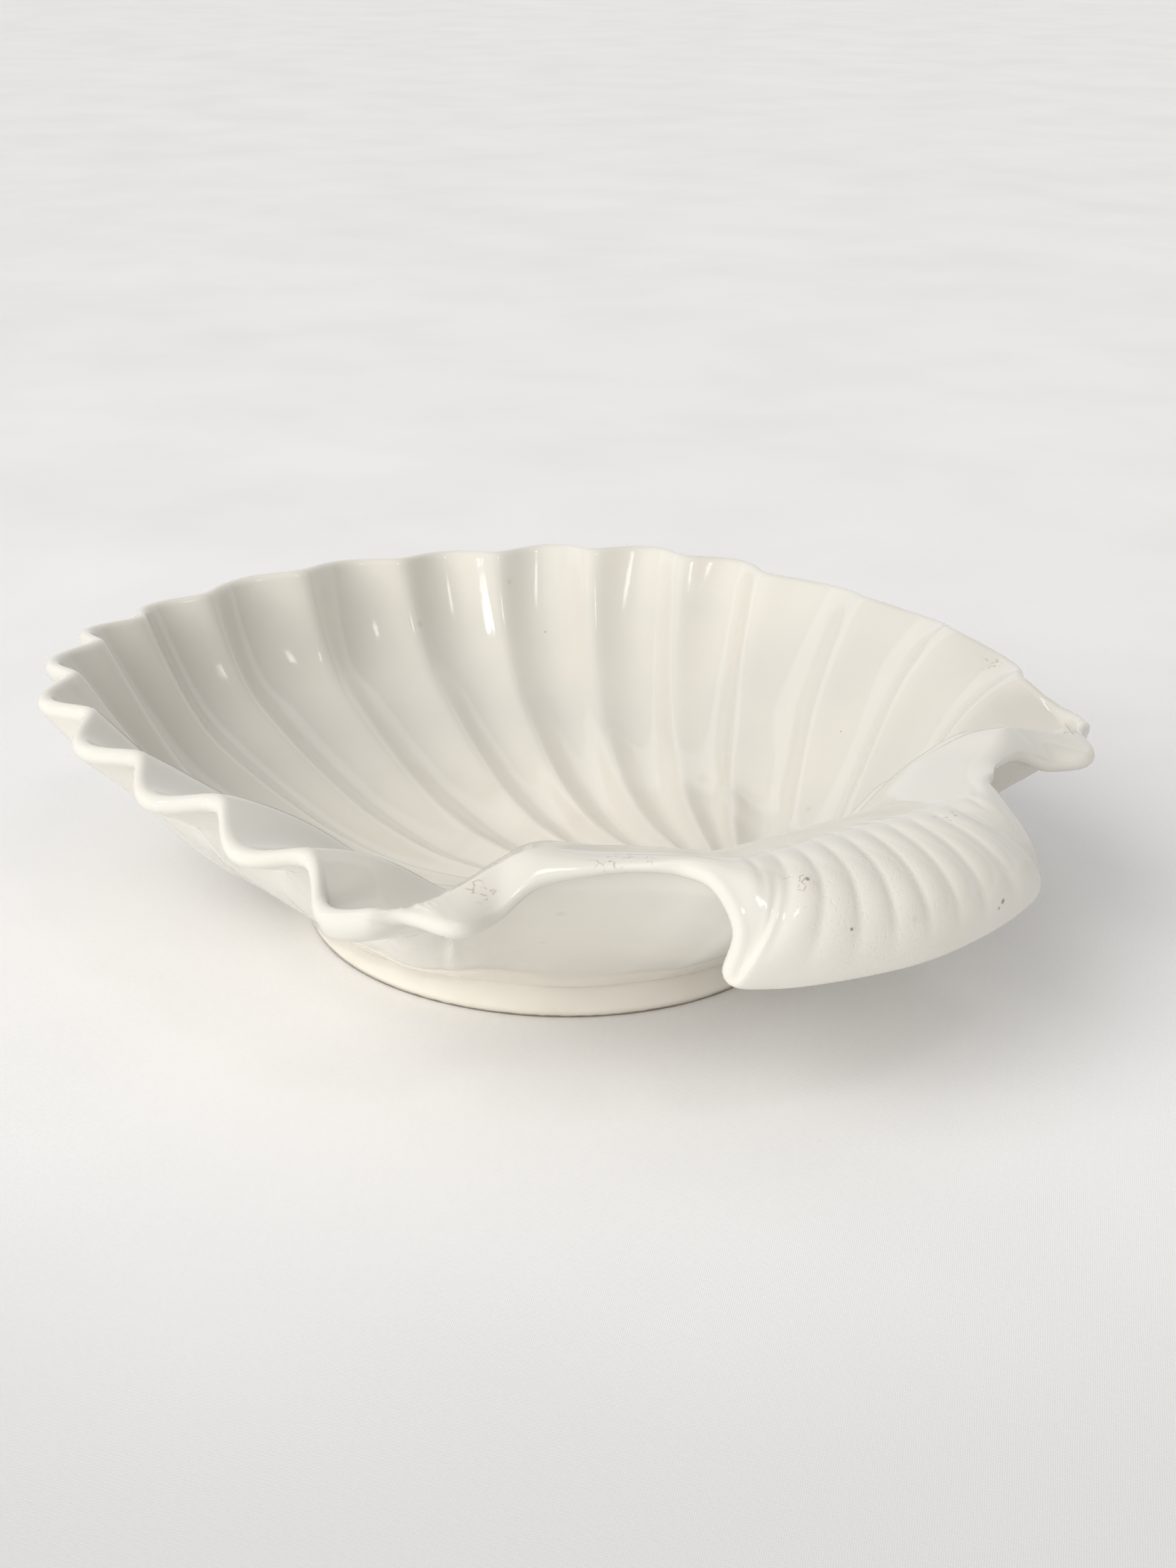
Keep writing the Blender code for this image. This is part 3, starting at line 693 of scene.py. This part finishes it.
def glaze_colour(nodes, height, bare):
    """Ivory with clouds, pin marks, specks, worn places, the bare clay at the foot, and painted bounce
    light that makes the lower shell paler.
    """
    clouds = nodes.step(nodes.noise(16, 3), 0.35, 0.68)
    colour = nodes.blend(clouds, IVORY, IVORY_GREY)
    # Painted light: the shell turns paler towards the foot, standing in for bounce light from the cloth
    painted_bounce = nodes.step(height, 0.034, 0.010)
    colour = nodes.blend(painted_bounce, colour, IVORY_PAINTED_BOUNCE)
    warm_patches = nodes.step(nodes.noise(28, 4), 0.58, 0.76)
    colour = nodes.blend(nodes.scaled(warm_patches, WARM_SHARE), colour, IVORY_WARM)

    pins = nodes.cells(30)
    rare = nodes.step(nodes.channel(pins.outputs["Color"], 0), 0.72, 0.74)
    pin = nodes.math("MULTIPLY", nodes.step(pins.outputs["Distance"], 0.055, 0.020), rare)
    pin = nodes.math("MAXIMUM", pin, nodes.near_any(PIN_MARKS))
    colour = nodes.blend(nodes.scaled(pin, PIN_SHARE), colour, PIN_GREY)

    specks = nodes.cells(95)
    few = nodes.step(nodes.channel(specks.outputs["Color"], 1), 0.965, 0.975)
    speck = nodes.math("MULTIPLY", nodes.step(specks.outputs["Distance"], 0.040, 0.018), few)
    dark = nodes.math("MAXIMUM", speck, nodes.near_any(DARK_MARKS))
    colour = nodes.blend(nodes.scaled(dark, SPECK_SHARE), colour, IRON_DARK)

    cracks = nodes.cells(330, "DISTANCE_TO_EDGE")
    line = nodes.step(cracks.outputs["Distance"], 0.10, 0.01)
    broken = nodes.step(nodes.noise(420, 3), 0.50, 0.60)
    wear = nodes.math("MULTIPLY", nodes.math("MULTIPLY", line, broken), nodes.near_any(WORN_PLACES))
    colour = nodes.blend(nodes.scaled(wear, WEAR_SHARE), colour, WEAR_BROWN)

    stain_spots = nodes.step(nodes.noise(55, 4), 0.50, 0.72)
    stain = nodes.math("MULTIPLY", nodes.step(height, 0.0080, 0.0010), stain_spots)
    colour = nodes.blend(nodes.scaled(stain, STAIN_SHARE), colour, FOOT_STAIN)
    return nodes.blend(bare, colour, BARE_CLAY)


def glaze_material():
    material = bpy.data.materials.new("ivory_glaze")
    nodes = Nodes(material)
    height = nodes.coordinate("Z")
    ragged = nodes.math("ADD", height, nodes.scaled(nodes.noise(260, 3), -0.0013))
    bare = nodes.step(ragged, 0.0004, -0.0002)
    nodes.put(nodes.shader.inputs["Base Color"], glaze_colour(nodes, height, bare))

    gloss = nodes.scaled(nodes.noise(60, 3), GLAZE_ROUGHNESS_SPREAD)
    gloss = nodes.math("ADD", GLAZE_ROUGHNESS, gloss)
    gloss = nodes.math("ADD", gloss, nodes.scaled(bare, BARE_ROUGHNESS))
    nodes.put(nodes.shader.inputs["Roughness"], gloss)
    nodes.shader.inputs["IOR"].default_value = GLAZE_IOR

    slow_waves = nodes.bump(nodes.noise(22, 2), 0.0016, 0.35)
    orange_peel = nodes.bump(nodes.noise(190, 2), 0.00012, 0.35, slow_waves)
    pits = nodes.step(nodes.noise(900, 2), 0.56, 0.72)
    pits = nodes.math("MULTIPLY", pits, nodes.near(*PITTED_PLACE))
    nodes.put(nodes.shader.inputs["Normal"], nodes.bump(pits, -0.00012, 0.6, orange_peel))
    return material


THREAD_PITCH = 0.00085
CLOTH_PALE = (0.915, 0.907, 0.900, 1)
CLOTH_SHADE = (0.880, 0.874, 0.870, 1)
# Darker cloth colour painted as shade where the light falls off towards the viewer
CLOTH_PAINTED_FALLOFF = (0.740, 0.735, 0.730, 1)
LINT_BROWN = (0.300, 0.230, 0.190, 1)
LINT_SHARE = 0.55
# Direction on the table towards the viewer, and where the cloth starts and ends to darken along it:
# painted shade for light that falls off towards the viewer
TOWARD_VIEWER = (-0.824, 0.566)
PAINTED_FALLOFF_FROM = 0.14
PAINTED_FALLOFF_TO = 0.44


def cloth_material():
    material = bpy.data.materials.new("pale_cloth")
    nodes = Nodes(material)
    turns = 2 * math.pi / THREAD_PITCH
    x = nodes.coordinate("X")
    y = nodes.coordinate("Y")
    wobble = nodes.scaled(nodes.noise(30, 2), 6.0)
    weft = nodes.math("SINE", nodes.math("ADD", nodes.scaled(x, turns), wobble))
    warp = nodes.math("SINE", nodes.math("ADD", nodes.scaled(y, turns), wobble))
    weave = nodes.math("MULTIPLY", weft, warp)
    slubs = nodes.noise(520, 3)
    tone = nodes.math("ADD", nodes.scaled(nodes.noise(9, 2), 0.75), nodes.scaled(slubs, 0.25))
    colour = nodes.blend(nodes.step(tone, 0.35, 0.70), CLOTH_PALE, CLOTH_SHADE)
    # Painted shade: the cloth darkens towards the viewer, standing in for light falling off
    near = nodes.math("ADD", nodes.scaled(x, TOWARD_VIEWER[0]), nodes.scaled(y, TOWARD_VIEWER[1]))
    colour = nodes.blend(nodes.step(near, PAINTED_FALLOFF_FROM, PAINTED_FALLOFF_TO), colour, CLOTH_PAINTED_FALLOFF)
    lint = nodes.cells(9)
    few = nodes.step(nodes.channel(lint.outputs["Color"], 0), 0.60, 0.62)
    speck = nodes.math("MULTIPLY", nodes.step(lint.outputs["Distance"], 0.0075, 0.0040), few)
    colour = nodes.blend(nodes.scaled(speck, LINT_SHARE), colour, LINT_BROWN)
    nodes.put(nodes.shader.inputs["Base Color"], colour)
    nodes.shader.inputs["Roughness"].default_value = 0.95
    nodes.shader.inputs["Specular IOR Level"].default_value = 0.1
    folds = nodes.bump(nodes.noise(2.6, 1), 0.030, 0.35)
    threads = nodes.math("ADD", nodes.math("MULTIPLY", weave, 0.5), slubs)
    nodes.put(nodes.shader.inputs["Normal"], nodes.bump(threads, 0.00010, 0.45, folds))
    return material


# The camera: distances in units of 0.09 m, angles in degrees
CAMERA_UNIT = 0.09
CAMERA_PLACE = (-8.2574767, 5.48858764, 4.34033773)
CAMERA_PITCH = 20.83996625
CAMERA_TURN = -34.50711649
CAMERA_LENS = 58.59
CAMERA_SENSOR = 36.0
CLOTH_SIZE = 30.0

ROOM = (0.460, 0.458, 0.456, 1)
CEILING = (0.640, 0.637, 0.632, 1)
ROOM_REFLECTED = (0.300, 0.295, 0.290, 1)
BACKDROP_REFLECTED = (1.050, 1.045, 1.040, 1)
BACKDROP_SLOPE = 1.50
BACKDROP_SOFT = 0.03
# The sine of the height in the sky at which the ceiling starts and is full
CEILING_FROM = 0.66
CEILING_FULL = 0.72

# The large soft window at the left: its direction, its apparent width in degrees and its strength
KEY_LEFT = 0.62
KEY_FRONT = 0.56
KEY_UP = 0.55
KEY_WIDTH = 52
KEY_ENERGY = 1.90
KEY_COLOUR = (1.0, 0.995, 0.985)


def linked(name, data):
    made = bpy.data.objects.new(name, data)
    bpy.context.scene.collection.objects.link(made)
    return made


def camera_directions():
    """The camera's directions ahead, to its right and upwards."""
    pitch = math.radians(CAMERA_PITCH)
    turn = math.radians(CAMERA_TURN)
    ahead = Vector((math.cos(pitch) * math.cos(turn), math.cos(pitch) * math.sin(turn), -math.sin(pitch)))
    right = Vector((math.sin(turn), -math.cos(turn), 0))
    return ahead, right, right.cross(ahead)


def add_camera(ahead, right, up, shift_x):
    data = bpy.data.cameras.new("camera")
    data.sensor_width = CAMERA_SENSOR
    data.lens = CAMERA_LENS
    camera = linked("camera", data)
    x, y, z = CAMERA_PLACE
    place = Vector((x * CAMERA_UNIT + shift_x, y * CAMERA_UNIT, z * CAMERA_UNIT))
    camera.matrix_world = Matrix((
        (right.x, up.x, -ahead.x, place.x), (right.y, up.y, -ahead.y, place.y),
        (right.z, up.z, -ahead.z, place.z), (0, 0, 0, 1)))
    bpy.context.scene.camera = camera


def add_room(ahead):
    """A grey room with a paler ceiling; in reflections, a white backdrop stands behind the dish."""
    world = bpy.data.worlds.new("studio")
    bpy.context.scene.world = world
    world.use_nodes = True
    tree = world.node_tree
    direction = tree.nodes.new("ShaderNodeTexCoord").outputs["Generated"]

    def soft_step(value, start, end):
        made = tree.nodes.new("ShaderNodeMapRange")
        made.interpolation_type = "SMOOTHSTEP"
        made.inputs["From Min"].default_value = start
        made.inputs["From Max"].default_value = end
        tree.links.new(value, made.inputs["Value"])
        return made.outputs["Result"]

    def mix(factor, under, over):
        made = tree.nodes.new("ShaderNodeMix")
        made.data_type = "RGBA"
        tree.links.new(factor, made.inputs["Factor"])
        for socket, value in ((made.inputs[6], under), (made.inputs[7], over)):
            if isinstance(value, bpy.types.NodeSocket):
                tree.links.new(value, socket)
            else:
                socket.default_value = value
        return made.outputs[2]

    split = tree.nodes.new("ShaderNodeSeparateXYZ")
    tree.links.new(direction, split.inputs[0])
    lit = mix(soft_step(split.outputs["Z"], CEILING_FROM, CEILING_FULL), ROOM, CEILING)
    behind = tree.nodes.new("ShaderNodeVectorMath")
    behind.operation = "DOT_PRODUCT"
    behind.inputs[1].default_value = (ahead.x * BACKDROP_SLOPE, ahead.y * BACKDROP_SLOPE, -1.0)
    tree.links.new(direction, behind.inputs[0])
    sheet = soft_step(behind.outputs["Value"], -BACKDROP_SOFT, BACKDROP_SOFT)
    reflected = mix(sheet, ROOM_REFLECTED, BACKDROP_REFLECTED)
    glossy = tree.nodes.new("ShaderNodeLightPath").outputs["Is Glossy Ray"]
    tree.links.new(mix(glossy, lit, reflected), tree.nodes["Background"].inputs["Color"])


def area_lamp(name, place, target, size, size_y, power):
    data = bpy.data.lights.new(name, "AREA")
    data.shape = "RECTANGLE"
    data.size = size
    data.size_y = size_y
    data.energy = power
    lamp = linked(name, data)
    lamp.location = place
    lamp.rotation_euler = (Vector(target) - Vector(place)).to_track_quat("-Z", "Y").to_euler()
    return lamp


def add_lamps(ahead, right):
    """The window and a low panel, which show in no reflection, and two small lamps that do."""
    left = -right
    front = Vector((-ahead.x, -ahead.y, 0)).normalized()

    def at(sideways, forward, height):
        return left * sideways + front * forward + Vector((0, 0, height))

    data = bpy.data.lights.new("key_window", "SUN")
    data.energy = KEY_ENERGY
    data.angle = math.radians(KEY_WIDTH)
    data.color = KEY_COLOUR
    key = linked("key_window", data)
    key.rotation_euler = (-at(KEY_LEFT, KEY_FRONT, KEY_UP)).to_track_quat("-Z", "Y").to_euler()
    key.visible_glossy = False
    panel = area_lamp("low_front_panel", at(0.60, 2.1, 0.17), (0, 0, 0.05), 1.5, 0.30, 12)
    panel.visible_glossy = False
    area_lamp("front_softbox", at(-0.42, 1.0, 1.55), (-0.05, 0, 0.06), 0.24, 0.24, 1.2)
    area_lamp("strip_light", at(1.46, 0.26, 0.64), (0.05, 0, 0.06), 0.06, 0.26, 1.4)


shell, shift_x = shell_mesh()
shell.data.materials.append(glaze_material())
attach(shell, "root")
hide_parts("shell_dish")

bpy.ops.mesh.primitive_plane_add(size=CLOTH_SIZE, location=(0, 0, 0))
cloth = bpy.context.object
cloth.name = "table_cloth"
cloth.data.materials.append(cloth_material())

ahead, right, up = camera_directions()
add_camera(ahead, right, up, shift_x)
add_room(ahead)
add_lamps(ahead, right)
bpy.context.scene.view_settings.view_transform = "Standard"
